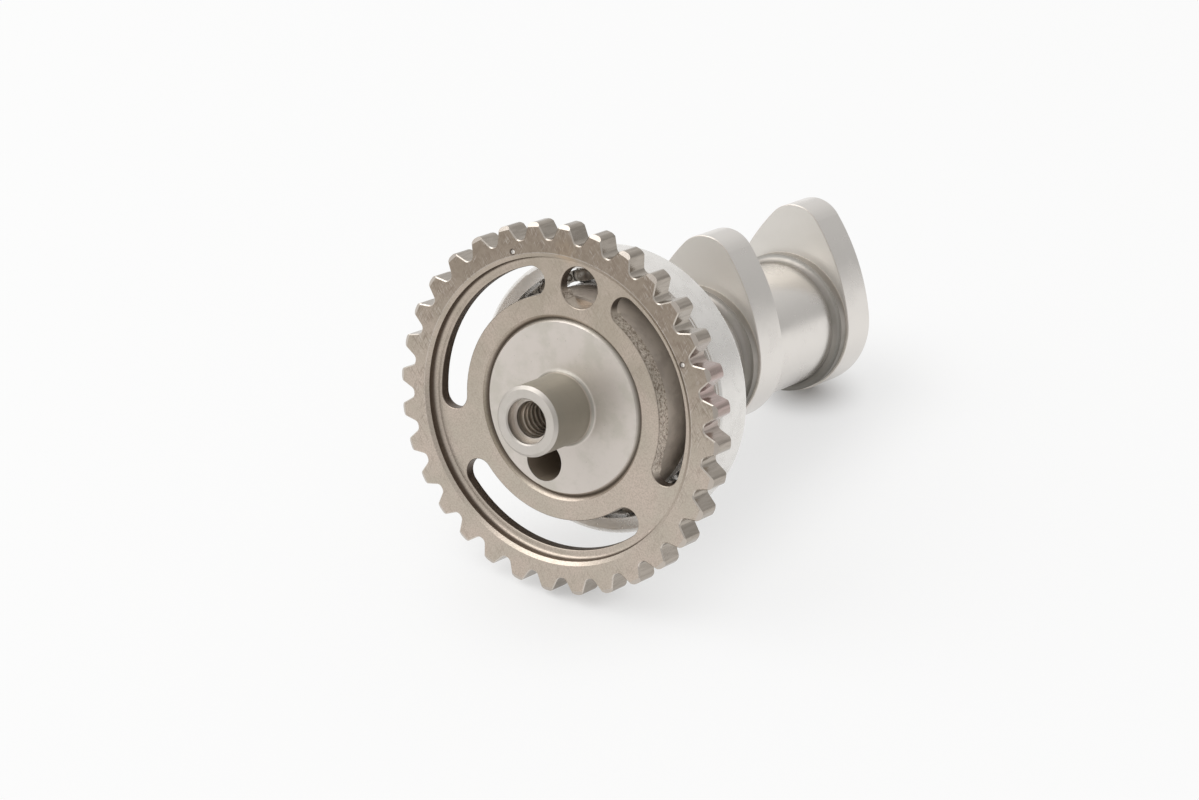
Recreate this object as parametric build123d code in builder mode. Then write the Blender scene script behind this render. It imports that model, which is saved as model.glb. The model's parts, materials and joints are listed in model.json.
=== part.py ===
import os
from math import asin, atan2, cos, degrees, hypot, pi, radians, sin, sqrt, tan

from build123d import *

# Camshaft with a chain sprocket and an open ball bearing on its front end, lying at rest on its sprocket teeth
# and on the heel of its rear lobe. Millimetres, +Z up, the shaft running back along +X.
# A station is a distance along the shaft, counted backwards from the front face of the sprocket's rim.
# An angle round the shaft is clockwise as seen from the front, with 90 degrees at the top.

# Chain wheel for an inverted-tooth chain, whose links have flanks at 60 degrees to each other
chain_pitch = 6.35
tooth_count = 32
tooth_above_pitch = 1.55
gullet_below_pitch = 1.4
gullet_width_at_pitch = 2.98
link_flank_angle = 30.0
tip_roundness = 0.8
gullet_roundness = 0.85
tooth_edge_break = 0.2
tip_bevel_length = 0.5
tip_bevel_depth = 0.75
sprocket_thickness = 5.0
rim_width = 3.19
recess_depth = 2.0
recess_foot_round = 1.0
recess_lip_width = 0.7
recess_lip_depth = 0.45
rear_recess_depth = 1.0
rear_foot_round = 0.6
hub_margin = 0.6
bore_chamfer = 0.75

# Openings in the wheel's web
slot_outer_margin = 1.75
slot_inner_margin = 4.35
side_slot_start = 25.0
side_slot_span = 76.2
lower_slot_span = 86.0
lower_slot_turn = 178.0
opening_edge_round = 0.25
web_hole_radius = 3.8
web_hole_margin = 1.2
web_hole_angle = 90.5
timing_dot_margin = 1.4
timing_dot_radius = 0.55
timing_dot_depth = 0.45
timing_dot_angles = (63.0, 146.5)

# Front end of the shaft
nose_radius = 6.5
nose_length = 11.4
nose_chamfer = 0.6
nose_root_round = 0.85
thread_bore_radius = 3.4
thread_bore_depth = 22.0
relief_radius = 4.1
relief_depth = 2.1
relief_chamfer = 0.25
hub_face_below_web = 0.2
seat_radius = 16.3
seat_chamfer = 0.6
dowel_hole_radius = 3.7
dowel_hole_centre_radius = 11.1
dowel_hole_angle = 281.4
dowel_hole_depth = 16.0

# Spacer sleeve and ball bearing
sleeve_wall = 3.8
sleeve_length = 9.1
sleeve_chamfer = 0.3
bearing_width = 9.0
bearing_seat_step = 1.2
bearing_section = 8.5
race_corner_round = 0.8
race_clearance = 0.05
pocket_clearance = 0.12
cage_sheet = 0.5
cage_land_gap = 0.55
rivet_head_height = 0.35
rivet_room = 0.4

# Shares of the bearing's section, from its bore to its outside, and of the cage's width
inner_ring_share = 0.294
outer_ring_share = 0.341
ball_share = 0.28
rivet_share = 0.2
rivet_head_share = 0.37

# Shoulder, journals and lobes
shoulder_height = 1.9
shoulder_length = 3.1
shoulder_chamfer = 0.6
shoulder_root_round = 2.5
journal_radius = 12.0
front_journal_length = 19.6
rear_journal_length = 22.3
collar_height = 1.5
collar_length = 2.0
collar_root_round = 1.4
lobe_back_round = 0.8
lobe_width = 8.2
lobe_base_radius = 13.85
lobe_lift = 9.3
lobe_nose_radius = 6.3
lobe_flank_radius = 41.0
lobe_edge_break = 0.15
lobe_angle = 85.6

# Plain end behind the rear lobe
tail_radius = 10.0
tail_length = 3.0
tail_chamfer = 0.8
centre_drill_radius = 1.25
centre_drill_mouth_radius = 2.6
centre_drill_depth = 5.0
centre_drill_angle = 60.0

# Sizes that follow
pitch_radius = chain_pitch / (2 * sin(pi / tooth_count))
tip_radius = pitch_radius + tooth_above_pitch
root_radius = pitch_radius - gullet_below_pitch
recess_radius = root_radius - rim_width
timing_dot_centre_radius = recess_radius + timing_dot_margin
slot_outer_radius = recess_radius - slot_outer_margin
slot_inner_radius = seat_radius + slot_inner_margin
slot_centre_radius = (slot_outer_radius + slot_inner_radius) / 2
slot_width = slot_outer_radius - slot_inner_radius
hub_radius = slot_inner_radius + hub_margin
web_hole_centre_radius = recess_radius - web_hole_margin - web_hole_radius
web_wall = web_hole_centre_radius - web_hole_radius - seat_radius
bore_bevel = min(bore_chamfer, 0.4 * web_wall)
opening_round = min(opening_edge_round, 0.3 * web_wall)
hub_face = recess_depth + hub_face_below_web
nose_front = hub_face - nose_length
bearing_front = sprocket_thickness + sleeve_length
bearing_middle = bearing_front + bearing_width / 2
bearing_rear = bearing_front + bearing_width
shoulder_rear = bearing_rear + shoulder_length
front_lobe = shoulder_rear + front_journal_length + collar_length
front_lobe_rear = front_lobe + lobe_width
rear_lobe = front_lobe_rear + rear_journal_length + collar_length
rear_lobe_rear = rear_lobe + lobe_width
tail_rear = rear_lobe_rear + tail_length
sleeve_radius = seat_radius + sleeve_wall
bearing_bore_radius = seat_radius + bearing_seat_step
bearing_outer_radius = bearing_bore_radius + bearing_section
inner_land_radius = bearing_bore_radius + inner_ring_share * bearing_section
outer_land_radius = bearing_outer_radius - outer_ring_share * bearing_section
ball_radius = ball_share * bearing_section
ball_centre_radius = (inner_land_radius + outer_land_radius) / 2
race_radius = ball_radius + race_clearance
pocket_radius = ball_radius + pocket_clearance
cage_inner_radius = inner_land_radius + cage_land_gap
cage_outer_radius = outer_land_radius - cage_land_gap
rivet_radius = rivet_share * (cage_outer_radius - cage_inner_radius)
rivet_head_radius = rivet_head_share * (cage_outer_radius - cage_inner_radius)
shoulder_radius = bearing_bore_radius + shoulder_height
collar_radius = journal_radius + collar_height

# The cage takes as many balls as leave the rivet room between each head and the pockets beside it
ball_to_rivet = pocket_radius + cage_sheet + rivet_room + rivet_head_radius
ball_count = int(pi / (2 * asin(ball_to_rivet / (2 * ball_centre_radius))))
ball_step = 360 / ball_count


def nearest_corner(sketch, along, out):
    """The corner of a section that lies at a station and a radius."""
    return sketch.vertices().sort_by_distance((along, out))[0]


# Outline of the chain wheel: a disc of the tip circle with a gullet cut between each two teeth. The corners of the
# gullet's floor and of the tooth's tip are rounded over a share of their widths.
gullet_half_width = gullet_width_at_pitch / 2
flank_slope = tan(radians(link_flank_angle))
corner_slope = tan(radians(45 - link_flank_angle / 2))
gullet_floor_half_width = gullet_half_width - gullet_below_pitch * flank_slope
gullet_mouth_half_width = gullet_half_width + 2 * tooth_above_pitch * flank_slope
tip_half_width = chain_pitch / 2 - gullet_half_width - tooth_above_pitch * flank_slope
tooth_tip_round = tip_roundness * tip_half_width / corner_slope
gullet_round = gullet_roundness * gullet_floor_half_width / corner_slope
with BuildSketch() as wheel_outline:
    Circle(tip_radius)
    with PolarLocations(0, tooth_count):
        Polygon(
            (root_radius, -gullet_floor_half_width),
            (root_radius, gullet_floor_half_width),
            (tip_radius + tooth_above_pitch, gullet_mouth_half_width),
            (tip_radius + tooth_above_pitch, -gullet_mouth_half_width),
            align=None,
            mode=Mode.SUBTRACT,
        )
    tooth_corners = wheel_outline.vertices().filter_by(lambda v: hypot(v.X, v.Y) > pitch_radius)
    fillet(tooth_corners, tooth_tip_round)
    gullet_corners = wheel_outline.vertices().filter_by(lambda v: hypot(v.X, v.Y) < pitch_radius)
    fillet(gullet_corners, gullet_round)

# Openings through the wheel's web: a round hole, a slot at each side of it and a slot opposite
with BuildSketch() as web_openings:
    for slot_start, slot_span in (
        (web_hole_angle + side_slot_start, side_slot_span),
        (web_hole_angle - side_slot_start - side_slot_span, side_slot_span),
        (web_hole_angle + lower_slot_turn - lower_slot_span / 2, lower_slot_span),
    ):
        SlotArc(CenterArc((0, 0), slot_centre_radius, slot_start, slot_span), slot_width)
    with PolarLocations(web_hole_centre_radius, 1, web_hole_angle):
        Circle(web_hole_radius)

# Outline of a lobe: a base circle and a nose circle joined by two wide flank arcs, the nose along +X
nose_centre = lobe_base_radius + lobe_lift - lobe_nose_radius
flank_to_base = lobe_flank_radius - lobe_base_radius
flank_to_nose = lobe_flank_radius - lobe_nose_radius
flank_cosine = (flank_to_base**2 + nose_centre**2 - flank_to_nose**2) / (2 * flank_to_base * nose_centre)
flank_centre = Vector(flank_to_base * flank_cosine, -flank_to_base * sqrt(1 - flank_cosine**2))
flank_foot = -flank_centre.normalized() * lobe_base_radius
flank_top = flank_centre + (Vector(nose_centre, 0) - flank_centre).normalized() * lobe_flank_radius
flank_middle = flank_centre + ((flank_foot + flank_top) / 2 - flank_centre).normalized() * lobe_flank_radius
with BuildSketch() as lobe_outline:
    with BuildLine():
        upper_flank = ThreePointArc(flank_foot, flank_middle, flank_top)
        mirror(upper_flank, about=Plane.XZ)
        ThreePointArc(flank_top, (nose_centre + lobe_nose_radius, 0), (flank_top.X, -flank_top.Y))
        ThreePointArc(flank_foot, (-lobe_base_radius, 0), (flank_foot.X, -flank_foot.Y))
    make_face()

# At rest the rear edges of the two lowest teeth and the rear edge of the rear lobe's heel touch the ground
wheel_drop = -wheel_outline.sketch.bounding_box().min.Y
lobe_turned = lobe_outline.sketch.rotate(Axis.Z, lobe_angle).bounding_box()
heel_drop = -lobe_turned.min.Y
wheel_contact = sprocket_thickness - tip_bevel_length
heel_contact = rear_lobe_rear - lobe_edge_break
shaft_tilt = atan2(wheel_drop - heel_drop, heel_contact - wheel_contact)
shaft_direction = Vector(cos(shaft_tilt), 0, -sin(shaft_tilt))
axis_height = wheel_drop * cos(shaft_tilt) + wheel_contact * sin(shaft_tilt)

# The ground point under the middle of the whole length is the origin
front_reach = -nose_front * cos(shaft_tilt) + (nose_radius - nose_chamfer) * sin(shaft_tilt)
lobe_reach = rear_lobe_rear * cos(shaft_tilt) + (lobe_turned.max.Y - lobe_edge_break) * sin(shaft_tilt)
tail_reach = tail_rear * cos(shaft_tilt) + (tail_radius - tail_chamfer) * sin(shaft_tilt)
axis_start = ((front_reach - max(lobe_reach, tail_reach)) / 2, 0, axis_height)
shaft_axis = Axis(axis_start, shaft_direction)
shaft_plane = Plane(axis_start, x_dir=(0, 1, 0), z_dir=shaft_direction)
section_plane = Plane(axis_start, x_dir=shaft_direction, z_dir=(0, -1, 0))


def station(along):
    """The plane square to the shaft at a station, facing backwards."""
    return shaft_plane.offset(along)


def rim_edges(piece, along, least_radius):
    """The edges of a piece that lie wholly at a station and outside a radius."""
    def outside(edge):
        ends = [shaft_plane.to_local_coords(edge.position_at(share)) for share in (0, 0.5, 1)]
        return all(abs(end.Z - along) < 0.001 and hypot(end.X, end.Y) > least_radius for end in ends)

    return piece.edges().filter_by(outside)


# One-piece shaft: nose, sprocket and bearing seats, shoulder, two journals, two lobes and a plain tail
with BuildPart() as camshaft:
    with BuildSketch(section_plane) as shaft_section:
        with BuildLine():
            Polyline(
                (nose_front, 0),
                (nose_front, nose_radius),
                (hub_face, nose_radius),
                (hub_face, seat_radius),
                (bearing_front, seat_radius),
                (bearing_front, bearing_bore_radius),
                (bearing_rear, bearing_bore_radius),
                (bearing_rear, shoulder_radius),
                (shoulder_rear, shoulder_radius),
                (shoulder_rear, journal_radius),
                (front_lobe - collar_length, journal_radius),
                (front_lobe - collar_length, collar_radius),
                (front_lobe_rear, collar_radius),
                (front_lobe_rear, journal_radius),
                (rear_lobe - collar_length, journal_radius),
                (rear_lobe - collar_length, collar_radius),
                (rear_lobe_rear, collar_radius),
                (rear_lobe_rear, tail_radius),
                (tail_rear, tail_radius),
                (tail_rear, 0),
                close=True,
            )
        make_face()
        chamfer(nearest_corner(shaft_section, nose_front, nose_radius), nose_chamfer)
        fillet(nearest_corner(shaft_section, hub_face, nose_radius), nose_root_round)
        chamfer(nearest_corner(shaft_section, hub_face, seat_radius), seat_chamfer)
        chamfer(nearest_corner(shaft_section, shoulder_rear, shoulder_radius), shoulder_chamfer)
        fillet(nearest_corner(shaft_section, shoulder_rear, journal_radius), shoulder_root_round)
        fillet(nearest_corner(shaft_section, front_lobe - collar_length, journal_radius), collar_root_round)
        fillet(nearest_corner(shaft_section, front_lobe_rear, journal_radius), lobe_back_round)
        fillet(nearest_corner(shaft_section, rear_lobe - collar_length, journal_radius), collar_root_round)
        chamfer(nearest_corner(shaft_section, tail_rear, tail_radius), tail_chamfer)
    revolve(axis=shaft_axis)
    for lobe_front in (front_lobe, rear_lobe):
        with BuildSketch(station(lobe_front)):
            add(lobe_outline.sketch, rotation=lobe_angle)
        extrude(amount=lobe_width)
        for lobe_face in (lobe_front, lobe_front + lobe_width):
            chamfer(rim_edges(camshaft, lobe_face, collar_radius + lobe_edge_break), lobe_edge_break)
    with Locations(Plane(station(nose_front).origin, x_dir=(0, 1, 0), z_dir=-shaft_direction)):
        CounterBoreHole(thread_bore_radius, relief_radius, relief_depth, thread_bore_depth)
    relief_mouth = camshaft.edges(Select.LAST).group_by(shaft_axis)[0]
    chamfer(relief_mouth, relief_chamfer)
    with BuildSketch(station(hub_face)):
        with PolarLocations(dowel_hole_centre_radius, 1, dowel_hole_angle):
            Circle(dowel_hole_radius)
    extrude(amount=dowel_hole_depth, mode=Mode.SUBTRACT)
    with Locations(station(tail_rear)):
        CounterSinkHole(
            centre_drill_radius, centre_drill_mouth_radius, centre_drill_depth, centre_drill_angle
        )

# Chain wheel: toothed rim bevelled over its tips, hub bored for the shaft's seat, and between them a web recessed on
# both sides, with a round hole and three curved slots
with BuildPart() as sprocket:
    with BuildSketch(station(0)):
        add(wheel_outline.sketch)
        Circle(seat_radius, mode=Mode.SUBTRACT)
    extrude(amount=sprocket_thickness)
    with BuildSketch(station(0)):
        Circle(recess_radius)
    extrude(amount=recess_depth, mode=Mode.SUBTRACT)
    recess_circles = sprocket.edges().filter_by(
        lambda e: e.geom_type == GeomType.CIRCLE and abs(e.radius - recess_radius) < 0.001
    )
    recess_circles = recess_circles.sort_by(shaft_axis)
    rim_face = sprocket.faces().sort_by(shaft_axis)[0]
    fillet(recess_circles[-1], recess_foot_round)
    chamfer(recess_circles[0], recess_lip_width, recess_lip_depth, reference=rim_face)
    for toothed_face in (0, sprocket_thickness):
        chamfer(rim_edges(sprocket, toothed_face, root_radius - tooth_edge_break), tooth_edge_break)
    with BuildSketch(section_plane):
        Polygon(
            (0, 0),
            (0, tip_radius - tip_bevel_depth),
            (tip_bevel_length, tip_radius),
            (sprocket_thickness - tip_bevel_length, tip_radius),
            (sprocket_thickness, tip_radius - tip_bevel_depth),
            (sprocket_thickness, 0),
            align=None,
        )
    revolve(axis=shaft_axis, mode=Mode.INTERSECT)
    bore_circles = sprocket.edges().filter_by(
        lambda e: e.geom_type == GeomType.CIRCLE and abs(e.radius - seat_radius) < 0.001
    )
    chamfer(bore_circles.sort_by(shaft_axis)[0], bore_bevel)
    with BuildSketch(station(recess_depth)):
        add(web_openings.sketch)
    extrude(amount=sprocket_thickness - recess_depth, mode=Mode.SUBTRACT)
    fillet(sprocket.edges(Select.LAST).group_by(shaft_axis)[0], opening_round)
    with BuildSketch(section_plane) as rear_recess:
        with BuildLine():
            Polyline(
                (sprocket_thickness, hub_radius),
                (sprocket_thickness - rear_recess_depth, hub_radius),
                (sprocket_thickness - rear_recess_depth, recess_radius),
                (sprocket_thickness, recess_radius),
                close=True,
            )
        make_face()
        fillet(nearest_corner(rear_recess, sprocket_thickness - rear_recess_depth, recess_radius), rear_foot_round)
    revolve(axis=shaft_axis, mode=Mode.SUBTRACT)
    for dot_angle in timing_dot_angles:
        with Locations(station(0)):
            with PolarLocations(timing_dot_centre_radius, 1, dot_angle):
                Cone(
                    timing_dot_radius, timing_dot_radius / 3, timing_dot_depth,
                    align=(Align.CENTER, Align.CENTER, Align.MIN), mode=Mode.SUBTRACT,
                )

# Sleeve that holds the sprocket and the bearing's inner ring apart
with BuildPart() as spacer_sleeve:
    with BuildSketch(station(sprocket_thickness)):
        Circle(sleeve_radius)
        Circle(seat_radius, mode=Mode.SUBTRACT)
    extrude(amount=sleeve_length)
    sleeve_rims = spacer_sleeve.edges().filter_by(
        lambda e: e.geom_type == GeomType.CIRCLE and abs(e.radius - sleeve_radius) < 0.001
    )
    chamfer(sleeve_rims, sleeve_chamfer)

# Bearing rings, each with a groove for the balls
with BuildPart() as bearing_inner_ring:
    with BuildSketch(section_plane) as inner_section:
        with Locations((bearing_middle, (bearing_bore_radius + inner_land_radius) / 2)):
            Rectangle(bearing_width, inner_land_radius - bearing_bore_radius)
        with Locations((bearing_middle, ball_centre_radius)):
            Circle(race_radius, mode=Mode.SUBTRACT)
        for face_station in (bearing_front, bearing_rear):
            fillet(nearest_corner(inner_section, face_station, bearing_bore_radius), race_corner_round / 2)
    revolve(axis=shaft_axis)

with BuildPart() as bearing_outer_ring:
    with BuildSketch(section_plane) as outer_section:
        with Locations((bearing_middle, (outer_land_radius + bearing_outer_radius) / 2)):
            Rectangle(bearing_width, bearing_outer_radius - outer_land_radius)
        with Locations((bearing_middle, ball_centre_radius)):
            Circle(race_radius, mode=Mode.SUBTRACT)
        for face_station in (bearing_front, bearing_rear):
            fillet(nearest_corner(outer_section, face_station, bearing_outer_radius), race_corner_round)
    revolve(axis=shaft_axis)

# Balls
with BuildPart() as bearing_balls:
    with Locations(station(bearing_middle)):
        with PolarLocations(ball_centre_radius, ball_count):
            Sphere(ball_radius)


def cage_half(side):
    """Pressed sheet ring, flat between the balls and bulged over them; side is -1 in front and 1 behind."""
    with BuildPart() as half:
        with BuildSketch(station(bearing_middle)):
            Circle(cage_outer_radius)
            Circle(cage_inner_radius, mode=Mode.SUBTRACT)
        extrude(amount=side * cage_sheet)
        with Locations(station(bearing_middle)):
            with PolarLocations(ball_centre_radius, ball_count):
                Sphere(pocket_radius + cage_sheet)
                Sphere(pocket_radius, mode=Mode.SUBTRACT)
            with PolarLocations(ball_centre_radius, ball_count, ball_step / 2):
                Cylinder(rivet_radius, 3 * cage_sheet, mode=Mode.SUBTRACT)
        with BuildSketch(station(bearing_middle)):
            Circle(cage_outer_radius)
            Circle(cage_inner_radius, mode=Mode.SUBTRACT)
        extrude(amount=side * (pocket_radius + cage_sheet), mode=Mode.INTERSECT)
    return half


cage_front_half = cage_half(-1)
cage_rear_half = cage_half(1)

# Rivets that close the two halves of the cage
with BuildPart() as cage_rivets:
    with Locations(station(bearing_middle)):
        with PolarLocations(ball_centre_radius, ball_count, ball_step / 2):
            Cylinder(rivet_radius, 2 * cage_sheet)
    for head_plane, toward in ((station(bearing_middle - cage_sheet), -1), (station(bearing_middle + cage_sheet), 1)):
        with BuildSketch(head_plane):
            with PolarLocations(ball_centre_radius, ball_count, ball_step / 2):
                Circle(rivet_head_radius)
        extrude(amount=toward * rivet_head_height)

pieces = {
    "camshaft": camshaft,
    "sprocket": sprocket,
    "spacer_sleeve": spacer_sleeve,
    "bearing_inner_ring": bearing_inner_ring,
    "bearing_outer_ring": bearing_outer_ring,
    "bearing_balls": bearing_balls,
    "cage_front_half": cage_front_half,
    "cage_rear_half": cage_rear_half,
    "cage_rivets": cage_rivets,
}
os.makedirs("parts", exist_ok=True)
for name, piece in pieces.items():
    piece.part.label = name
    export_step(piece.part, f"parts/{name}.step")

print("tilt of the shaft, degrees", round(degrees(shaft_tilt), 3))
print("front of the sprocket's rim on the axis", [round(value, 4) for value in axis_start])
print("lowest tooth corner below the axis", round(wheel_drop, 4))
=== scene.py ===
import json
import math

import bpy
from mathutils import Matrix, Vector


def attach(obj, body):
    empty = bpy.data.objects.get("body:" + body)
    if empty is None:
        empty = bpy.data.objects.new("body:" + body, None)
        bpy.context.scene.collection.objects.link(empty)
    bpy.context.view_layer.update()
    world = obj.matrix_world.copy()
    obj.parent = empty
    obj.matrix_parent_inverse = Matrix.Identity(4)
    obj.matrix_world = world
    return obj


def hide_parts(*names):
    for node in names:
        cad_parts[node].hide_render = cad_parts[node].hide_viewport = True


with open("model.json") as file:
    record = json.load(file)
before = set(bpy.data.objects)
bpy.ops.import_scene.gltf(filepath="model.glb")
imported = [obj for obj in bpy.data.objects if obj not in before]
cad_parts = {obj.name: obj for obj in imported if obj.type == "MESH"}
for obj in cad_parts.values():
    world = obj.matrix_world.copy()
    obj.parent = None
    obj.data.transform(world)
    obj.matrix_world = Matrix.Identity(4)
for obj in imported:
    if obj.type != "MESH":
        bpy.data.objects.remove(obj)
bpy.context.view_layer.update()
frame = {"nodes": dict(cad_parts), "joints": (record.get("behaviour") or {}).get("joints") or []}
nodes = frame["nodes"]
print("frame loaded:", len(nodes), "nodes")

# The shaft's own place: stations count in millimetres from the front of the sprocket's rim,
# and the joint lies on the axis in the bearing's middle
millimetre = 0.001
bearingMiddle = 18.6
shaftJoint = frame["joints"][0]
alongShaft = Vector(shaftJoint["axis"]).normalized()
rimFront = Vector(shaftJoint["pos_m"]) - alongShaft * bearingMiddle * millimetre
sideways = Vector((0, 1, 0))
upward = alongShaft.cross(sideways)
shaftMatrix = Matrix((sideways, upward, alongShaft)).transposed().to_4x4()
shaftMatrix.translation = rimFront


# Small helpers for node trees
def node(tree, kind, **settings):
    made = tree.nodes.new(kind)
    for name, value in settings.items():
        setattr(made, name, value)
    return made


def join(tree, source, target):
    if hasattr(source, "is_output"):
        tree.links.new(source, target)
    else:
        target.default_value = source


def maths(tree, operation, first, second=0.0, clamp=False):
    made = node(tree, "ShaderNodeMath", operation=operation, use_clamp=clamp)
    join(tree, first, made.inputs[0])
    join(tree, second, made.inputs[1])
    return made.outputs[0]


def product(tree, *values):
    result = values[0]
    for value in values[1:]:
        result = maths(tree, "MULTIPLY", result, value)
    return result


def lengthOf(tree, first, second):
    squares = maths(tree, "ADD", product(tree, first, first), product(tree, second, second))
    return maths(tree, "SQRT", squares)


def splitVector(tree, vector):
    parts = node(tree, "ShaderNodeSeparateXYZ")
    tree.links.new(vector, parts.inputs[0])
    return parts.outputs


def joinVector(tree, *values):
    made = node(tree, "ShaderNodeCombineXYZ")
    for value, target in zip(values, made.inputs):
        join(tree, value, target)
    return made.outputs[0]


def fade(tree, value, start, end, low=0.0, high=1.0):
    made = node(tree, "ShaderNodeMapRange", interpolation_type="SMOOTHSTEP")
    for target, number in zip(made.inputs, (value, start, end, low, high)):
        join(tree, number, target)
    return made.outputs[0]


def band(tree, value, low, high, soft):
    rise = fade(tree, value, low - soft, low + soft)
    fall = fade(tree, value, high - soft, high + soft, 1.0, 0.0)
    return product(tree, rise, fall)


def bands(tree, value, ranges, soft):
    total = 0.0
    for low, high in ranges:
        total = maths(tree, "ADD", band(tree, value, low, high, soft), total, clamp=True)
    return total


def blendColour(tree, share, first, second):
    made = node(tree, "ShaderNodeMix", data_type="RGBA")
    join(tree, share, made.inputs[0])
    join(tree, first, made.inputs[6])
    join(tree, second, made.inputs[7])
    return made.outputs[2]


def tint(tree, tone, colour, *shares):
    # the tone with a colour laid over it, by the product of the shares
    return blendColour(tree, product(tree, *shares), tone, colour)


def blendValue(tree, share, first, second):
    made = node(tree, "ShaderNodeMix", data_type="FLOAT")
    join(tree, share, made.inputs[0])
    join(tree, first, made.inputs[2])
    join(tree, second, made.inputs[3])
    return made.outputs[0]


def noise(tree, vector, scale, detail, roughness):
    made = node(tree, "ShaderNodeTexNoise")
    join(tree, vector, made.inputs["Vector"])
    made.inputs["Scale"].default_value = scale
    made.inputs["Detail"].default_value = detail
    made.inputs["Roughness"].default_value = roughness
    return made.outputs[0]


def clouds(tree, vector, scale, detail, roughness, start, end):
    return fade(tree, noise(tree, vector, scale, detail, roughness), start, end)


def stretched(tree, vector, lengths, turn=0.0):
    # the place in steps of the lengths along, across and behind a direction turned about the shaft
    made = node(tree, "ShaderNodeMapping", vector_type="TEXTURE")
    join(tree, vector, made.inputs["Vector"])
    made.inputs["Scale"].default_value = lengths
    made.inputs["Rotation"].default_value = (0, 0, turn)
    return made.outputs[0]


def distanceFrom(tree, where, x, y):
    return lengthOf(tree, maths(tree, "SUBTRACT", where["x"], x), maths(tree, "SUBTRACT", where["y"], y))


def metal(name):
    # gives the material, its tree, its shader, and the place on the shaft in millimetres
    material = bpy.data.materials.new(name)
    material.use_nodes = True
    tree = material.node_tree
    tree.nodes.clear()
    shader = node(tree, "ShaderNodeBsdfPrincipled")
    shader.inputs["Metallic"].default_value = 1.0
    output = node(tree, "ShaderNodeOutputMaterial")
    tree.links.new(shader.outputs[0], output.inputs[0])
    coordinates = node(tree, "ShaderNodeTexCoord")
    turn = node(tree, "ShaderNodeMapping", vector_type="TEXTURE")
    tree.links.new(coordinates.outputs["Object"], turn.inputs["Vector"])
    turn.inputs["Location"].default_value = shaftMatrix.translation
    turn.inputs["Rotation"].default_value = shaftMatrix.to_euler("XYZ")
    turn.inputs["Scale"].default_value = (millimetre, millimetre, millimetre)
    place = turn.outputs[0]
    x, y, station = splitVector(tree, place)
    radius = lengthOf(tree, x, y)
    normal = node(tree, "ShaderNodeNewGeometry")
    facing = node(tree, "ShaderNodeVectorMath", operation="DOT_PRODUCT")
    tree.links.new(normal.outputs["Normal"], facing.inputs[0])
    facing.inputs[1].default_value = alongShaft
    where = {
        "place": place, "x": x, "y": y, "station": station, "radius": radius,
        "rings": joinVector(tree, radius, station),
        "across": maths(tree, "ABSOLUTE", facing.outputs["Value"]),
    }
    return material, tree, shader, where


def bump(tree, shader, height, strength, distance):
    made = node(tree, "ShaderNodeBump")
    made.inputs["Strength"].default_value = strength
    made.inputs["Distance"].default_value = distance
    join(tree, height, made.inputs["Height"])
    tree.links.new(made.outputs[0], shader.inputs["Normal"])


# In the steels' settings a pair is where a mask starts and where it is full, in millimetres, as a level of
# a noise, or as how squarely a face looks along the shaft. Four numbers add the mask's values at the two.
# A band is its two ends and its softness. Clouds are a noise's scale, detail and roughness and a pair.
# A noise is its scale, detail and roughness, and marks and relief are a bump's strength and depth.

# Shaft: satin disc and lobe faces, matt nose, ground lobes and journals, with painted light on the lobe faces and
# painted shade in the fillets, the disc's groove, the nose's root and the drilled holes
shaftSettings = {
    "faceColour": (0.67, 0.615, 0.565, 1),
    "faceRoughness": 0.38,
    "faceMetallic": 0.72,
    "flatFrom": (0.8, 0.97),
    "sideFrom": (0.75, 0.5),
    "smudgeColour": (0.60, 0.56, 0.50, 1),
    "smudgeClouds": (0.22, 4.0, 0.6, 0.42, 0.68),
    "smudgeRoughness": 0.07,
    "speckColour": (0.42, 0.38, 0.34, 1),
    "speckClouds": (1.9, 2.0, 0.5, 0.70, 0.76),
    "speckShare": 0.5,
    "lobeFaceLightColour": (0.80, 0.775, 0.73, 1),
    "lobeFaceLightShare": 0.85,
    "lobeFacesFrom": (40.0, 41.0),
    "groundColour": (0.765, 0.73, 0.69, 1),
    "groundRoughness": 0.21,
    "groundSoft": 0.05,
    "lobes": ((47.8, 56.0), (80.3, 88.5)),
    "journals": ((27.5, 44.4), (56.9, 76.9)),
    "filletShadeColour": (0.10, 0.094, 0.08, 1),
    "filletShadeShare": 0.85,
    "fillSoft": 0.25,
    "fillets": ((44.5, 47.6), (56.0, 56.9), (77.0, 80.1), (26.0, 27.4)),
    "fillInside": (13.75, 13.6),
    "filletShadeDeepens": (9.0, -9.0, 0.6, 1.0),
    "noseColour": (0.475, 0.45, 0.39, 1),
    "noseRoughness": 0.55,
    "noseOutside": (6.7, 6.55),
    "noseInside": (6.35, 6.45),
    "noseBefore": (1.6, 1.3),
    "rootShadeColour": (0.40, 0.375, 0.33, 1),
    "rootAcross": (6.6, 7.0, 0.12),
    "rootAlong": (1.2, 2.3, 0.1),
    "tipColour": (0.54, 0.515, 0.475, 1),
    "tipShare": 0.5,
    "tipRoughness": 0.46,
    "tipFrom": (-8.3, -8.5),
    "grooveShadeColour": (0.30, 0.275, 0.23, 1),
    "grooveShadeShare": 0.75,
    "grooveFrom": (15.75, 16.15),
    "grooveBefore": (3.6, 3.2),
    "holeShadeColour": (0.34, 0.28, 0.22, 1),
    "holeRoughness": 0.5,
    "holeMetallic": 0.3,
    "holePlace": (2.19, -10.88),
    "holeInside": (3.82, 3.74),
    "holeDepth": (2.45, 18.8, 0.2),
    "boreInside": (3.5, 3.42),
    "boreDepth": (-6.5, 14.0, 0.5),
    "markNoise": (5.0, 3.0, 0.5),
    "marks": (0.14, 0.00004),
}


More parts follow.
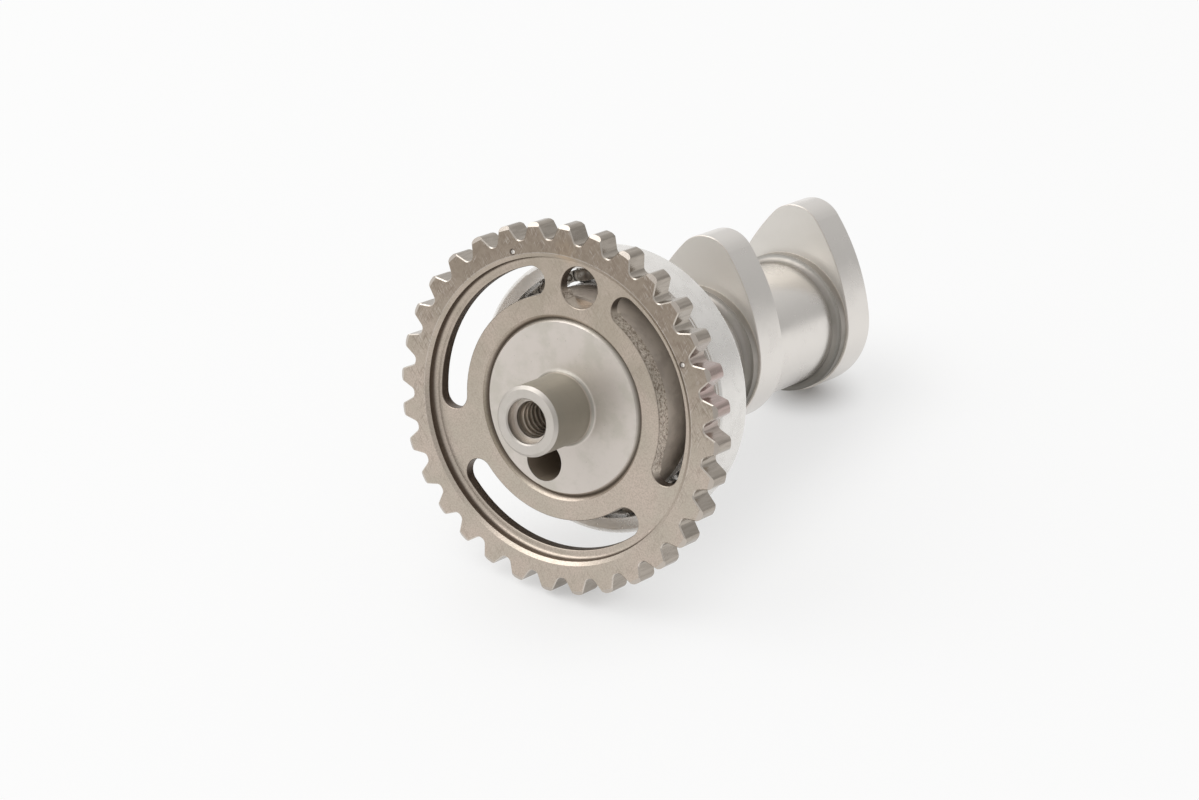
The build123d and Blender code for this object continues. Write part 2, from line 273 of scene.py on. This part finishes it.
def shaftSteel():
    settings = shaftSettings
    material, tree, shader, where = metal("Shaft steel")
    place, station, radius, across = where["place"], where["station"], where["radius"], where["across"]
    # smudges and dark specks of handling
    smudges = clouds(tree, place, *settings["smudgeClouds"])
    specks = clouds(tree, place, *settings["speckClouds"])
    tone = tint(tree, settings["faceColour"], settings["smudgeColour"], smudges)
    tone = tint(tree, tone, settings["speckColour"], specks, settings["speckShare"])
    # lobe faces lightened by painted light, ground sides of lobes and journals, and painted shade in the fillets
    side = fade(tree, across, *settings["sideFrom"])
    flat = fade(tree, across, *settings["flatFrom"])
    lobeFaceLight = product(tree, flat, fade(tree, station, *settings["lobeFacesFrom"]))
    tone = tint(tree, tone, settings["lobeFaceLightColour"], lobeFaceLight, settings["lobeFaceLightShare"])
    ground = bands(tree, station, settings["lobes"] + settings["journals"], settings["groundSoft"])
    ground = product(tree, ground, side)
    tone = tint(tree, tone, settings["groundColour"], ground)
    # painted shade in the fillets, deeper towards the lower side
    filletShade = product(
        tree, bands(tree, station, settings["fillets"], settings["fillSoft"]),
        fade(tree, radius, *settings["fillInside"]), fade(tree, where["y"], *settings["filletShadeDeepens"]),
    )
    tone = tint(tree, tone, settings["filletShadeColour"], filletShade, settings["filletShadeShare"])
    # the nose's side was left as heat treated it, darker than the ground faces
    noseSide = product(
        tree, fade(tree, radius, *settings["noseOutside"]), fade(tree, radius, *settings["noseInside"]),
        fade(tree, station, *settings["noseBefore"]), side,
    )
    tone = tint(tree, tone, settings["noseColour"], noseSide)
    # painted shade on the round at the nose's root, and the face at its tip
    rootShade = product(tree, band(tree, radius, *settings["rootAcross"]), band(tree, station, *settings["rootAlong"]))
    tone = tint(tree, tone, settings["rootShadeColour"], rootShade)
    tip = fade(tree, station, *settings["tipFrom"])
    tone = tint(tree, tone, settings["tipColour"], tip, settings["tipShare"])
    # painted shade on the disc's bevel, beside the groove
    grooveShade = product(tree, fade(tree, radius, *settings["grooveFrom"]), fade(tree, station, *settings["grooveBefore"]))
    tone = tint(tree, tone, settings["grooveShadeColour"], grooveShade, settings["grooveShadeShare"])
    # painted shade inside the drilled hole and the threaded bore
    holeAway = distanceFrom(tree, where, *settings["holePlace"])
    inHole = product(tree, fade(tree, holeAway, *settings["holeInside"]), band(tree, station, *settings["holeDepth"]))
    inBore = product(tree, fade(tree, radius, *settings["boreInside"]), band(tree, station, *settings["boreDepth"]))
    holeShade = maths(tree, "MAXIMUM", inHole, inBore)
    tone = tint(tree, tone, settings["holeShadeColour"], holeShade)
    tree.links.new(tone, shader.inputs["Base Color"])
    rough = blendValue(tree, ground, settings["faceRoughness"], settings["groundRoughness"])
    rough = blendValue(tree, noseSide, rough, settings["noseRoughness"])
    rough = blendValue(tree, holeShade, rough, settings["holeRoughness"])
    rough = blendValue(tree, tip, rough, settings["tipRoughness"])
    rough = maths(tree, "ADD", rough, product(tree, smudges, settings["smudgeRoughness"]))
    tree.links.new(rough, shader.inputs["Roughness"])
    metallic = blendValue(tree, flat, 1.0, settings["faceMetallic"])
    metallic = blendValue(tree, holeShade, metallic, settings["holeMetallic"])
    tree.links.new(metallic, shader.inputs["Metallic"])
    # turned and ground marks run round the shaft
    bump(tree, shader, noise(tree, where["rings"], *settings["markNoise"]), *settings["marks"])
    return material


# Chain wheel: sintered steel, bronze-grey, burnished on the teeth, with painted shade on the walls of its openings and
# painted highlights on its edges
sprocketSettings = {
    "colour": (0.575, 0.50, 0.425, 1),
    "roughness": 0.33,
    "frontFrom": (0.9, 0.97),
    "sideFrom": (0.72, 0.35),
    "grainColour": (0.46, 0.395, 0.33, 1),
    "grainNoise": (3.4, 4.0, 0.65),
    "grainFrom": (0.62, 0.32),
    "pinkColour": (0.63, 0.52, 0.455, 1),
    "greenColour": (0.51, 0.48, 0.40, 1),
    "patchClouds": (0.16, 3.0, 0.5, 0.3, 0.7),
    "patchShare": 0.5,
    "patchRoughness": 0.05,
    "upperShadeColour": (0.40, 0.34, 0.27, 1),
    "upperShadeShare": 0.65,
    "upperFrom": (-14.0, 30.0),
    "upperPatches": (0.0, 1.0, 0.6, 1.0),
    "levelLean": 0.15,
    "goldColour": (0.58, 0.42, 0.26, 1),
    "goldShare": 0.45,
    "goldPlace": (2.3, 29.2),
    "goldInside": (3.4, 0.6),
    "rimShadeColour": (0.26, 0.21, 0.165, 1),
    "rimShadeShare": 0.7,
    "rimFrom": (27.6, 28.1),
    "rimTopFrom": (-3.0, 25.0),
    "scarColour": (0.24, 0.19, 0.15, 1),
    "mottleClouds": (0.9, 3.0, 0.6, 0.46, 0.62),
    "mottleShare": 0.35,
    # turn and size of the strokes that cross, and a stroke's length, width and depth
    "strokes": ((0.75, 1.0), (0.95, 0.7), (1.9, 0.8)),
    "strokeLength": 2.4,
    "strokeWidth": 0.34,
    "strokeDepth": 2.0,
    "strokeNoise": (1.0, 1.0, 0.4),
    "scratchFrom": (0.62, 0.72),
    "scratchShare": 0.28,
    "scarFrom": (0.43, 0.34),
    "scarShare": 0.6,
    "handledClouds": (0.35, 2.0, 0.5, 0.38, 0.60),
    "handledRim": (0.0, 1.0, 0.35, 1.0),
    "handledLevel": (-20.0, 15.0, 0.35, 1.0),
    "lipHighlightShare": 0.45,
    "lipAcross": (28.32, 28.62, 0.08),
    "lipFrom": (-15.0, 5.0),
    "paintedShadeColour": (0.14, 0.11, 0.09, 1),
    "wallShadeShare": 0.9,
    "wallRoughness": 0.12,
    "wallFrom": (0.93, 0.5),
    "wallOutside": (27.88, 27.8),
    "wallInside": (21.4, 22.6),
    "hubOutside": (21.3, 21.0),
    "hubInside": (20.0, 20.2),
    "pitNoise": (1.9, 3.0, 0.75),
    "pitFrom": (0.50, 0.40),
    "glintColour": (0.88, 0.80, 0.71, 1),
    "glintShare": 0.6,
    "glintFrom": (0.56, 0.66),
    "grooveShadeShare": 0.8,
    "grooveInside": (16.85, 16.45),
    "teethFrom": (30.7, 31.0),
    "flankColour": (0.43, 0.385, 0.335, 1),
    "flankRoughness": 0.2,
    "pinkFlankColour": (0.50, 0.36, 0.35, 1),
    "pinkFlankShare": 0.6,
    "pinkFlankPlace": (-31.5, 13.0),
    "pinkFlankInside": (11.0, 3.0),
    "streakColour": (0.27, 0.235, 0.195, 1),
    "streakSteps": (0.5, 0.5, 4.0),
    "streakNoise": (1.0, 2.0, 0.5),
    "streakFrom": (0.60, 0.40, 0.0, 0.35),
    "bevelColour": (0.55, 0.495, 0.44, 1),
    "bevelFacing": (0.79, 0.87, 0.02),
    "edgeColour": (0.74, 0.695, 0.645, 1),
    "edgeHighlightShare": 0.5,
    "edgeFacing": (0.58, 0.77, 0.03),
    "edgeRoughness": 0.24,
    "edgePolish": 0.7,
    # angle in degrees and distance from the axis
    "dots": ((63.0, 29.2), (146.5, 29.2)),
    "dotGlintColour": (0.95, 0.92, 0.88, 1),
    "dotRing": (0.75, 0.45),
    "dotPoint": (0.45, 0.3),
    "scratchRelief": -0.6,
    "pitRelief": 5.0,
    "relief": (0.3, 0.00005),
}


def sprocketSteel():
    settings = sprocketSettings
    material, tree, shader, where = metal("Sprocket steel")
    place, radius, across = where["place"], where["radius"], where["across"]
    front = fade(tree, across, *settings["frontFrom"])
    side = fade(tree, across, *settings["sideFrom"])
    # fine grain over pink and green patches
    grain = noise(tree, place, *settings["grainNoise"])
    patches = clouds(tree, place, *settings["patchClouds"])
    patchTone = blendColour(tree, patches, settings["pinkColour"], settings["greenColour"])
    tone = tint(tree, settings["colour"], patchTone, settings["patchShare"])
    tone = tint(tree, tone, settings["grainColour"], fade(tree, grain, *settings["grainFrom"]))
    # painted shade, darker from the lower side up to the round hole, and a golden stain
    level = maths(tree, "ADD", where["y"], product(tree, where["x"], settings["levelLean"]))
    upperShade = product(tree, fade(tree, level, *settings["upperFrom"]), fade(tree, patches, *settings["upperPatches"]))
    tone = tint(tree, tone, settings["upperShadeColour"], upperShade, settings["upperShadeShare"])
    goldAway = distanceFrom(tree, where, *settings["goldPlace"])
    gold = fade(tree, goldAway, *settings["goldInside"])
    tone = tint(tree, tone, settings["goldColour"], gold, settings["goldShare"])
    # painted shade darkens the rim towards its top, where it is also mottled
    rim = product(tree, front, fade(tree, radius, *settings["rimFrom"]))
    shadedRimTop = product(tree, rim, fade(tree, where["y"], *settings["rimTopFrom"]))
    tone = tint(tree, tone, settings["rimShadeColour"], shadedRimTop, settings["rimShadeShare"])
    mottle = clouds(tree, place, *settings["mottleClouds"])
    tone = tint(tree, tone, settings["scarColour"], shadedRimTop, mottle, settings["mottleShare"])
    # fine oblique scratches and scars where it was handled, mostly on the rim
    scratches = 0.0
    scars = 0.0
    for turn, size in settings["strokes"]:
        lengths = (settings["strokeLength"] * size, settings["strokeWidth"] * size, settings["strokeDepth"])
        lines = noise(tree, stretched(tree, place, lengths, turn), *settings["strokeNoise"])
        scratches = maths(tree, "ADD", fade(tree, lines, *settings["scratchFrom"]), scratches, clamp=True)
        scars = maths(tree, "ADD", fade(tree, lines, *settings["scarFrom"]), scars, clamp=True)
    handled = product(
        tree, front, clouds(tree, place, *settings["handledClouds"]),
        fade(tree, rim, *settings["handledRim"]), fade(tree, level, *settings["handledLevel"]),
    )
    scratches = product(tree, scratches, handled)
    scars = product(tree, scars, handled)
    tone = tint(tree, tone, settings["edgeColour"], scratches, settings["scratchShare"])
    # painted highlight along the upper part of the rim's inner lip
    lipHighlight = product(
        tree, front, band(tree, radius, *settings["lipAcross"]), fade(tree, where["y"], *settings["lipFrom"])
    )
    tone = tint(tree, tone, settings["edgeColour"], lipHighlight, settings["lipHighlightShare"])
    tone = tint(tree, tone, settings["scarColour"], scars, settings["scarShare"])
    # painted shade on the walls of the recess, of the slots and of the round hole
    wallShade = product(
        tree, fade(tree, across, *settings["wallFrom"]), fade(tree, radius, *settings["wallOutside"]),
        fade(tree, radius, *settings["wallInside"]),
    )
    tone = tint(tree, tone, settings["paintedShadeColour"], wallShade, settings["wallShadeShare"])
    # the hub's own wall was left rough
    hubWall = product(
        tree, side, fade(tree, radius, *settings["hubOutside"]), fade(tree, radius, *settings["hubInside"])
    )
    pits = noise(tree, place, *settings["pitNoise"])
    tone = tint(tree, tone, settings["scarColour"], hubWall, fade(tree, pits, *settings["pitFrom"]))
    glints = fade(tree, pits, *settings["glintFrom"])
    tone = tint(tree, tone, settings["glintColour"], hubWall, glints, settings["glintShare"])
    # painted shade in the groove round the disc
    grooveShade = fade(tree, radius, *settings["grooveInside"])
    tone = tint(tree, tone, settings["paintedShadeColour"], grooveShade, settings["grooveShadeShare"])
    # burnished tooth flanks, pink in one place and streaked, with bevels, and worn edges lightened as a painted
    # highlight
    teeth = fade(tree, radius, *settings["teethFrom"])
    flank = product(tree, side, teeth)
    pinkAway = distanceFrom(tree, where, *settings["pinkFlankPlace"])
    pink = product(tree, fade(tree, pinkAway, *settings["pinkFlankInside"]), teeth)
    flankTone = tint(tree, settings["flankColour"], settings["pinkFlankColour"], pink, settings["pinkFlankShare"])
    streaks = noise(tree, stretched(tree, place, settings["streakSteps"]), *settings["streakNoise"])
    flankTone = tint(tree, flankTone, settings["streakColour"], fade(tree, streaks, *settings["streakFrom"]))
    tone = tint(tree, tone, flankTone, flank)
    bevel = product(tree, band(tree, across, *settings["bevelFacing"]), teeth)
    tone = tint(tree, tone, settings["bevelColour"], bevel)
    edgeHighlights = product(tree, band(tree, across, *settings["edgeFacing"]), teeth)
    tone = tint(tree, tone, settings["edgeColour"], edgeHighlights, settings["edgeHighlightShare"])
    # timing dots: a painted glint in a ring of painted shade
    for angle, out in settings["dots"]:
        turned = math.radians(angle)
        away = distanceFrom(tree, where, out * math.cos(turned), out * math.sin(turned))
        tone = tint(tree, tone, settings["paintedShadeColour"], fade(tree, away, *settings["dotRing"]))
        tone = tint(tree, tone, settings["dotGlintColour"], fade(tree, away, *settings["dotPoint"]))
    tree.links.new(tone, shader.inputs["Base Color"])
    rough = blendValue(tree, flank, settings["roughness"], settings["flankRoughness"])
    rough = blendValue(tree, product(tree, edgeHighlights, settings["edgePolish"]), rough, settings["edgeRoughness"])
    uneven = product(tree, maths(tree, "SUBTRACT", patches, 0.5), settings["patchRoughness"])
    rough = maths(tree, "ADD", rough, uneven)
    rough = maths(tree, "ADD", rough, product(tree, wallShade, settings["wallRoughness"]))
    tree.links.new(rough, shader.inputs["Roughness"])
    relief = maths(tree, "ADD", grain, product(tree, scratches, settings["scratchRelief"]))
    relief = maths(tree, "ADD", relief, product(tree, pits, hubWall, settings["pitRelief"]))
    bump(tree, shader, relief, *settings["relief"])
    return material


# Turned or pressed steels of the sleeve, the bearing's rings, balls and cage
plainSettings = {
    "Sleeve steel": {
        "colour": (0.50, 0.44, 0.38, 1), "stain": (0.41, 0.355, 0.305, 1),
        "roughness": 0.36, "metallic": 1.0, "marks": (0.2, 0.00003),
    },
    "Ring steel": {
        "colour": (0.87, 0.845, 0.81, 1), "stain": (0.81, 0.785, 0.75, 1),
        "roughness": 0.24, "metallic": 0.65, "marks": None,
    },
    "Ball steel": {
        "colour": (0.78, 0.775, 0.77, 1), "stain": (0.72, 0.71, 0.70, 1),
        "roughness": 0.05, "metallic": 1.0, "marks": None,
    },
    # painted shade: the cage is coloured dark as it lies in shade inside the bearing
    "Shaded cage steel": {
        "colour": (0.30, 0.28, 0.25, 1), "stain": (0.22, 0.195, 0.17, 1),
        "roughness": 0.28, "metallic": 1.0, "marks": (0.05, 0.00003),
    },
}
stainSettings = {
    "clouds": (0.3, 4.0, 0.6, 0.4, 0.65),
    "roughness": 0.06,
    "markNoise": (6.0, 3.0, 0.5),
}


def plainSteel(name):
    settings = plainSettings[name]
    material, tree, shader, where = metal(name)
    stains = clouds(tree, where["place"], *stainSettings["clouds"])
    tone = tint(tree, settings["colour"], settings["stain"], stains)
    tree.links.new(tone, shader.inputs["Base Color"])
    shader.inputs["Metallic"].default_value = settings["metallic"]
    rough = maths(tree, "ADD", product(tree, stains, stainSettings["roughness"]), settings["roughness"])
    tree.links.new(rough, shader.inputs["Roughness"])
    if settings["marks"]:
        bump(tree, shader, noise(tree, where["rings"], *stainSettings["markNoise"]), *settings["marks"])
    return material


finishes = {
    "camshaft": shaftSteel(),
    "sprocket": sprocketSteel(),
    "spacer_sleeve": plainSteel("Sleeve steel"),
    "bearing_inner_ring": plainSteel("Ring steel"),
    "bearing_balls": plainSteel("Ball steel"),
    "cage_front_half": plainSteel("Shaded cage steel"),
}
finishes["bearing_outer_ring"] = finishes["bearing_inner_ring"]
finishes["cage_rear_half"] = finishes["cage_rivets"] = finishes["cage_front_half"]
for name, material in finishes.items():
    nodes[name].data.materials[0] = material
print("materials set on", len(finishes), "pieces")


# Helpers for pieces that Geometry Nodes make, in the shaft's millimetres
def pieceTree(name, settings):
    # a tree with a named input for each of the settings, whole numbers as integers
    tree = bpy.data.node_groups.new(name, "GeometryNodeTree")
    tree.is_modifier = True
    tree.interface.new_socket("Geometry", in_out="OUTPUT", socket_type="NodeSocketGeometry")
    for label, value in settings.items():
        kind = "NodeSocketInt" if isinstance(value, int) else "NodeSocketFloat"
        socket = tree.interface.new_socket(label, in_out="INPUT", socket_type=kind)
        socket.default_value = value
    given = node(tree, "NodeGroupInput")
    return tree, {label: given.outputs[label] for label in settings}


def placedAt(tree, geometry, x, y, z):
    shape = node(tree, "GeometryNodeSetPosition")
    tree.links.new(geometry, shape.inputs["Geometry"])
    tree.links.new(joinVector(tree, x, y, z), shape.inputs["Position"])
    return shape.outputs[0]


def smoothed(tree, geometry):
    smooth = node(tree, "GeometryNodeSetShadeSmooth")
    tree.links.new(geometry, smooth.inputs["Geometry"])
    return smooth.outputs[0]


def finishTree(tree, geometry, material):
    realize = node(tree, "GeometryNodeRealizeInstances")
    paint = node(tree, "GeometryNodeSetMaterial")
    paint.inputs["Material"].default_value = material
    output = node(tree, "NodeGroupOutput")
    tree.links.new(geometry, realize.inputs[0])
    tree.links.new(realize.outputs[0], paint.inputs["Geometry"])
    tree.links.new(paint.outputs[0], output.inputs[0])


def growPiece(name, tree, values):
    # runs the tree on an empty mesh, keeps the result as a plain mesh and lays it on the shaft
    carrier = bpy.data.objects.new(name + "Carrier", bpy.data.meshes.new(name + "Carrier"))
    bpy.context.scene.collection.objects.link(carrier)
    modifier = carrier.modifiers.new(name, "NODES")
    modifier.node_group = tree
    for item in tree.interface.items_tree:
        if item.in_out == "INPUT" and item.name in values:
            modifier[item.identifier] = values[item.name]
    grown = carrier.evaluated_get(bpy.context.evaluated_depsgraph_get())
    mesh = bpy.data.meshes.new_from_object(grown)
    bpy.data.objects.remove(carrier)
    mesh.transform(shaftMatrix @ Matrix.Scale(millimetre, 4))
    mesh.name = name
    piece = bpy.data.objects.new(name, mesh)
    bpy.context.scene.collection.objects.link(piece)
    return piece


# Thread in the nose: one ridge wound along the bore, its height fading in at the mouth and out at the end
threadSettings = {
    "Turns": 14,
    "Pitch": 1.25,
    "Bore radius": 3.43,
    "Ridge height": 0.4,
    "Flank slope": 1.2,
    "Start": -7.05,
    "Fade in": 0.8,
    "Fade out": 0.5,
    "Steps a turn": 72,
    "Points across": 11,
}
threadLooks = {
    "rootShadeColour": (0.22, 0.185, 0.15, 1),
    "crestHighlightColour": (0.86, 0.80, 0.73, 1),
    "crestInside": (3.28, 3.08),
    "roughness": 0.3,
}


def threadSteel():
    material, tree, shader, where = metal("Thread steel")
    # painted highlight on the crests, painted shade in the roots
    crestHighlight = fade(tree, where["radius"], *threadLooks["crestInside"])
    tone = tint(tree, threadLooks["rootShadeColour"], threadLooks["crestHighlightColour"], crestHighlight)
    tree.links.new(tone, shader.inputs["Base Color"])
    shader.inputs["Roughness"].default_value = threadLooks["roughness"]
    return material


def threadTree():
    tree, given = pieceTree("Nose thread", threadSettings)
    # a strip of length and width 1, as long as the ridge's steps
    strip = node(tree, "GeometryNodeMeshGrid")
    strip.inputs["Size X"].default_value = 1.0
    strip.inputs["Size Y"].default_value = 1.0
    steps = maths(tree, "ADD", product(tree, given["Turns"], given["Steps a turn"]), 1.0)
    tree.links.new(steps, strip.inputs["Vertices X"])
    tree.links.new(given["Points across"], strip.inputs["Vertices Y"])
    position = node(tree, "GeometryNodeInputPosition")
    lengthwise, crosswise, _ = splitVector(tree, position.outputs[0])
    turned = product(tree, maths(tree, "ADD", lengthwise, 0.5), given["Turns"])
    left = maths(tree, "SUBTRACT", given["Turns"], turned)
    fromCrest = maths(tree, "ABSOLUTE", product(tree, crosswise, 2.0))
    flank = product(tree, maths(tree, "SUBTRACT", 1.0, fromCrest), given["Flank slope"])
    ends = product(tree, fade(tree, turned, 0.0, given["Fade in"]), fade(tree, left, 0.0, given["Fade out"]))
    inward = product(tree, maths(tree, "MINIMUM", flank, 1.0), given["Ridge height"], ends)
    out = maths(tree, "SUBTRACT", given["Bore radius"], inward)
    angle = product(tree, turned, 2 * math.pi)
    along = maths(tree, "ADD", turned, maths(tree, "ADD", crosswise, 0.5))
    along = maths(tree, "ADD", product(tree, along, given["Pitch"]), given["Start"])
    ridge = placedAt(
        tree, strip.outputs["Mesh"], product(tree, out, maths(tree, "COSINE", angle)),
        product(tree, out, maths(tree, "SINE", angle)), along,
    )
    flip = node(tree, "GeometryNodeFlipFaces")
    tree.links.new(ridge, flip.inputs[0])
    finishTree(tree, smoothed(tree, flip.outputs[0]), threadSteel())
    return tree


noseThread = growPiece("nose_thread_ridge", threadTree(), threadSettings)
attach(noseThread, "shaft_and_sprocket")
print("thread:", len(noseThread.data.polygons), "faces")

# Balls and the rivets of the cage, set round the bearing
ballSettings = {
    "Count": 16,
    "Ring radius": 21.55,
    "Ball radius": 2.38,
    "Station": bearingMiddle,
    "Subdivisions": 5,
}
rivetSettings = {
    "Count": 16,
    "Ring radius": 21.55,
    "Head radius": 0.74,
    "Head height": 0.35,
    "Sheet": 0.5,
    "Station": bearingMiddle,
    "Segments": 24,
    "Rings": 13,
}


def setRound(tree, given, piece, turn):
    ring = node(tree, "GeometryNodeMeshCircle")
    tree.links.new(given["Count"], ring.inputs["Vertices"])
    tree.links.new(given["Ring radius"], ring.inputs["Radius"])
    move = node(tree, "GeometryNodeTransform")
    tree.links.new(ring.outputs[0], move.inputs["Geometry"])
    tree.links.new(joinVector(tree, 0.0, 0.0, given["Station"]), move.inputs["Translation"])
    move.inputs["Rotation"].default_value = (0, 0, turn)
    place = node(tree, "GeometryNodeInstanceOnPoints")
    tree.links.new(move.outputs[0], place.inputs["Points"])
    tree.links.new(piece, place.inputs["Instance"])
    return place.outputs[0]


def ballTree():
    tree, given = pieceTree("Bearing balls", ballSettings)
    ball = node(tree, "GeometryNodeMeshIcoSphere")
    tree.links.new(given["Subdivisions"], ball.inputs["Subdivisions"])
    tree.links.new(given["Ball radius"], ball.inputs["Radius"])
    ring = setRound(tree, given, smoothed(tree, ball.outputs[0]), 0.0)
    finishTree(tree, ring, finishes["bearing_balls"])
    return tree


def rivetTree():
    tree, given = pieceTree("Cage rivets", rivetSettings)
    # a ball squeezed to a dome at each end, pulled apart by the sheets between them
    ball = node(tree, "GeometryNodeMeshUVSphere")
    tree.links.new(given["Segments"], ball.inputs["Segments"])
    tree.links.new(given["Rings"], ball.inputs["Rings"])
    ball.inputs["Radius"].default_value = 1.0
    position = node(tree, "GeometryNodeInputPosition")
    x, y, z = splitVector(tree, position.outputs[0])
    dome = product(tree, z, given["Head height"])
    apart = product(tree, maths(tree, "SIGN", z), given["Sheet"])
    rivet = placedAt(
        tree, ball.outputs["Mesh"], product(tree, x, given["Head radius"]),
        product(tree, y, given["Head radius"]), maths(tree, "ADD", dome, apart),
    )
    # the rivets stand midway between the balls
    ring = setRound(tree, given, smoothed(tree, rivet), math.pi / rivetSettings["Count"])
    finishTree(tree, ring, finishes["cage_rivets"])
    return tree


balls = growPiece("balls", ballTree(), ballSettings)
rivets = growPiece("rivets", rivetTree(), rivetSettings)
for piece, cadNode, slotName in ((balls, "bearing_balls", "ball_steel"), (rivets, "cage_rivets", "cage_steel")):
    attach(piece, "ball_cage")
    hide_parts(cadNode)
print("balls and rivets:", len(balls.data.polygons) + len(rivets.data.polygons), "faces")

# Floor, lamps, surroundings and camera, in metres
studioSettings = {
    "floorReach": 3.0,
    "floorColour": (0.86, 0.86, 0.86, 1),
    "paperColour": (1.0, 1.0, 0.998, 1),
    # the share of the paper's glow, painted light that pales the shadow, from beside the shaft to away from it,
    # and less at each contact: its place, its size and what is left in its middle
    "shaftEnds": 0.045,
    "shaftLine": -0.006,
    "paintedLightShare": (0.005, 0.032, 0.60, 0.78),
    "contacts": ((0.040, -0.004, 0.013, 0.0), (-0.043, -0.006, 0.012, 0.6)),
    "dullFloor": (-0.08, -0.35, 0.0, 0.3),
    "skyColour": (1.0, 1.0, 1.0, 1),
    "worldStrength": 0.86,
    "windowSide": (-0.8, 0.8, 0.62, 1.0),
    "overhead": (-0.1, 0.6, 0.92, 1.12),
    "keyPlace": (-0.5, 0.75, 1.1),
    "keyAim": (0, 0, 0.03),
    "keySize": 1.3,
    "keyPower": 7.0,
    "cameraPlace": (-0.5400975, -0.350932, 0.403605),
    "cameraForward": (0.707373, 0.483401, -0.515701),
    "lens": 120.64,
    "sensorWidth": 36,
    "nearest": 0.01,
}


def seenDirectly(tree):
    # two values: 1 for rays from the camera or that metal or glass sends on, and 1 for the latter alone
    path = node(tree, "ShaderNodeLightPath")
    sentOn = maths(tree, "MAXIMUM", path.outputs["Is Glossy Ray"], path.outputs["Is Transmission Ray"])
    return maths(tree, "MAXIMUM", path.outputs["Is Camera Ray"], sentOn), sentOn


def floorPaper():
    settings = studioSettings
    material = bpy.data.materials.new("Floor paper")
    material.use_nodes = True
    tree = material.node_tree
    tree.nodes.clear()
    matt = node(tree, "ShaderNodeBsdfDiffuse")
    matt.inputs["Color"].default_value = settings["floorColour"]
    paper = node(tree, "ShaderNodeEmission")
    paper.inputs["Color"].default_value = settings["paperColour"]
    # painted light: the paper's glow is less beside the shaft and least where the part touches the floor, so the
    # shadow shows there and is paled further out
    spot = node(tree, "ShaderNodeTexCoord")
    x, y, _ = splitVector(tree, spot.outputs["Object"])
    beyond = maths(tree, "SUBTRACT", maths(tree, "ABSOLUTE", x), settings["shaftEnds"])
    beyond = maths(tree, "MAXIMUM", beyond, 0.0)
    away = lengthOf(tree, beyond, maths(tree, "SUBTRACT", y, settings["shaftLine"]))
    share = fade(tree, away, *settings["paintedLightShare"])
    for contactX, contactY, size, kept in settings["contacts"]:
        gap = distanceFrom(tree, {"x": x, "y": y}, contactX, contactY)
        share = product(tree, share, fade(tree, gap, 0.0, size, kept, 1.0))
    seen, sentOn = seenDirectly(tree)
    # metal mirrors a duller floor away from the window
    duller = product(tree, sentOn, fade(tree, y, *settings["dullFloor"]))
    tree.links.new(maths(tree, "SUBTRACT", 1.0, duller), paper.inputs["Strength"])
    mix = node(tree, "ShaderNodeMixShader")
    tree.links.new(product(tree, seen, share), mix.inputs[0])
    tree.links.new(matt.outputs[0], mix.inputs[1])
    tree.links.new(paper.outputs[0], mix.inputs[2])
    output = node(tree, "ShaderNodeOutputMaterial")
    tree.links.new(mix.outputs[0], output.inputs[0])
    return material


def makeFloor():
    reach = studioSettings["floorReach"]
    corners = [(x * reach, y * reach, 0) for x, y in ((-1, -1), (1, -1), (1, 1), (-1, 1))]
    mesh = bpy.data.meshes.new("Floor")
    mesh.from_pydata(corners, [], [(0, 1, 2, 3)])
    mesh.materials.append(floorPaper())
    floor = bpy.data.objects.new("Floor", mesh)
    bpy.context.scene.collection.objects.link(floor)


def makeLights():
    world = bpy.data.worlds.new("Studio")
    bpy.context.scene.world = world
    world.use_nodes = True
    tree = world.node_tree
    background = tree.nodes["Background"]
    background.inputs["Color"].default_value = studioSettings["skyColour"]
    # the room is a little darker towards -Y, away from the window, and brighter overhead
    direction = node(tree, "ShaderNodeTexCoord")
    _, y, z = splitVector(tree, direction.outputs["Generated"])
    strength = product(
        tree, fade(tree, y, *studioSettings["windowSide"]), fade(tree, z, *studioSettings["overhead"]),
        studioSettings["worldStrength"],
    )
    tree.links.new(strength, background.inputs["Strength"])
    lamp = bpy.data.lights.new("Key", "AREA")
    lamp.shape = "DISK"
    lamp.size = studioSettings["keySize"]
    lamp.energy = studioSettings["keyPower"]
    key = bpy.data.objects.new("Key", lamp)
    key.location = studioSettings["keyPlace"]
    aim = Vector(studioSettings["keyAim"]) - key.location
    key.rotation_euler = aim.to_track_quat("-Z", "Y").to_euler()
    bpy.context.scene.collection.objects.link(key)


def makeCamera():
    lens = bpy.data.cameras.new("Camera")
    lens.lens = studioSettings["lens"]
    lens.sensor_width = studioSettings["sensorWidth"]
    lens.clip_start = studioSettings["nearest"]
    camera = bpy.data.objects.new("Camera", lens)
    camera.location = studioSettings["cameraPlace"]
    forward = Vector(studioSettings["cameraForward"]).normalized()
    camera.rotation_euler = forward.to_track_quat("-Z", "Y").to_euler()
    bpy.context.scene.collection.objects.link(camera)
    bpy.context.scene.camera = camera


makeFloor()
makeLights()
makeCamera()
bpy.context.scene.view_settings.view_transform = "Standard"
print("studio ready")
